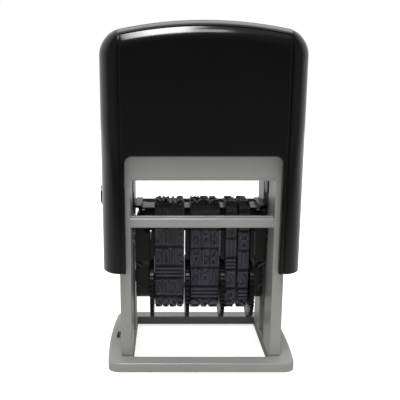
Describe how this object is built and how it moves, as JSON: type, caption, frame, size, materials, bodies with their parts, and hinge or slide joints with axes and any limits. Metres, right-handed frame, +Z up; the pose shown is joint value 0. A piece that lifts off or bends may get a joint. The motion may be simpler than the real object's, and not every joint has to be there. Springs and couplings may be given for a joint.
{
  "type": "date stamp",
  "caption": "Self-inking date stamp: a cap slides down on a frame and turns a cradle of date belts from the ink pad to the paper.",
  "frame": {"origin": "centre of the base plate's underside, on the table", "axes": "+Z up along the press, +X to the user's right, +Y away from the user"},
  "size_m": [0.0418, 0.0264, 0.0696],
  "materials": {
    "grey_plastic": "satin moulded plastic",
    "black_gloss": "polished",
    "black_plastic": "satin moulded plastic",
    "dark_plastic": "satin moulded plastic",
    "belt_rubber": "matt moulded rubber",
    "pad_foam": "inked felt",
    "steel": "drawn wire and ground rod"
  },
  "bodies": {
    "frame_body": {"base_plate": "grey_plastic", "frame": "grey_plastic", "return_spring_left": "steel", "return_spring_right": "steel"},
    "cap_body": {"cap": "black_gloss", "pivot_pin_left": "steel", "pivot_pin_right": "steel", "retaining_leg_left": "dark_plastic", "retaining_leg_right": "dark_plastic"},
    "cradle_body": {"cradle": "black_plastic", "platen": "black_plastic", "wheel_axle": "steel", "year_belt": "belt_rubber", "month_belt": "belt_rubber", "day_tens_belt": "belt_rubber", "day_units_belt": "belt_rubber"},
    "cartridge_body": {"pad_cartridge": "grey_plastic", "ink_pad": "pad_foam"},
    "lock_left_body": {"lock_button_left": "black_gloss"},
    "lock_right_body": {"lock_button_right": "black_gloss"},
    "year_wheel_body": {"year_wheel": "black_plastic"},
    "month_wheel_body": {"month_wheel": "black_plastic"},
    "day_tens_wheel_body": {"day_tens_wheel": "black_plastic"},
    "day_units_wheel_body": {"day_units_wheel": "black_plastic"}
  },
  "joints": [
    {"name": "cap_press", "type": "slide", "parent": "frame_body", "child": "cap_body", "axis": [0, 0, -1], "range_m": [0, 0.0155], "stiffness_N_per_m": 300, "springref_m": -0.008, "deforming": ["return_spring_left", "return_spring_right"]},
    {"name": "cradle_flip", "type": "hinge", "parent": "cap_body", "child": "cradle_body", "pos_m": [0, 0, 0.0246], "axis": [1, 0, 0], "range_deg": [0, 180]},
    {"name": "cartridge_slide", "type": "slide", "parent": "frame_body", "child": "cartridge_body", "axis": [0, -1, 0], "range_m": [-0.0185, 0]},
    {"name": "lock_left", "type": "slide", "parent": "cap_body", "child": "lock_left_body", "axis": [-1, 0, 0], "range_m": [-0.0012, 0]},
    {"name": "lock_right", "type": "slide", "parent": "cap_body", "child": "lock_right_body", "axis": [1, 0, 0], "range_m": [-0.0012, 0]},
    {"name": "year_set", "type": "hinge", "parent": "cradle_body", "child": "year_wheel_body", "pos_m": [0, 0, 0.0137], "axis": [1, 0, 0], "continuous": true},
    {"name": "month_set", "type": "hinge", "parent": "cradle_body", "child": "month_wheel_body", "pos_m": [0, 0, 0.0137], "axis": [1, 0, 0], "continuous": true},
    {"name": "day_tens_set", "type": "hinge", "parent": "cradle_body", "child": "day_tens_wheel_body", "pos_m": [0, 0, 0.0137], "axis": [1, 0, 0], "continuous": true},
    {"name": "day_units_set", "type": "hinge", "parent": "cradle_body", "child": "day_units_wheel_body", "pos_m": [0, 0, 0.0137], "axis": [1, 0, 0], "continuous": true}
  ],
  "couplings": [
    {"joint": "cradle_flip", "follows": "cap_press", "rad_per_m": 202.68}
  ]
}
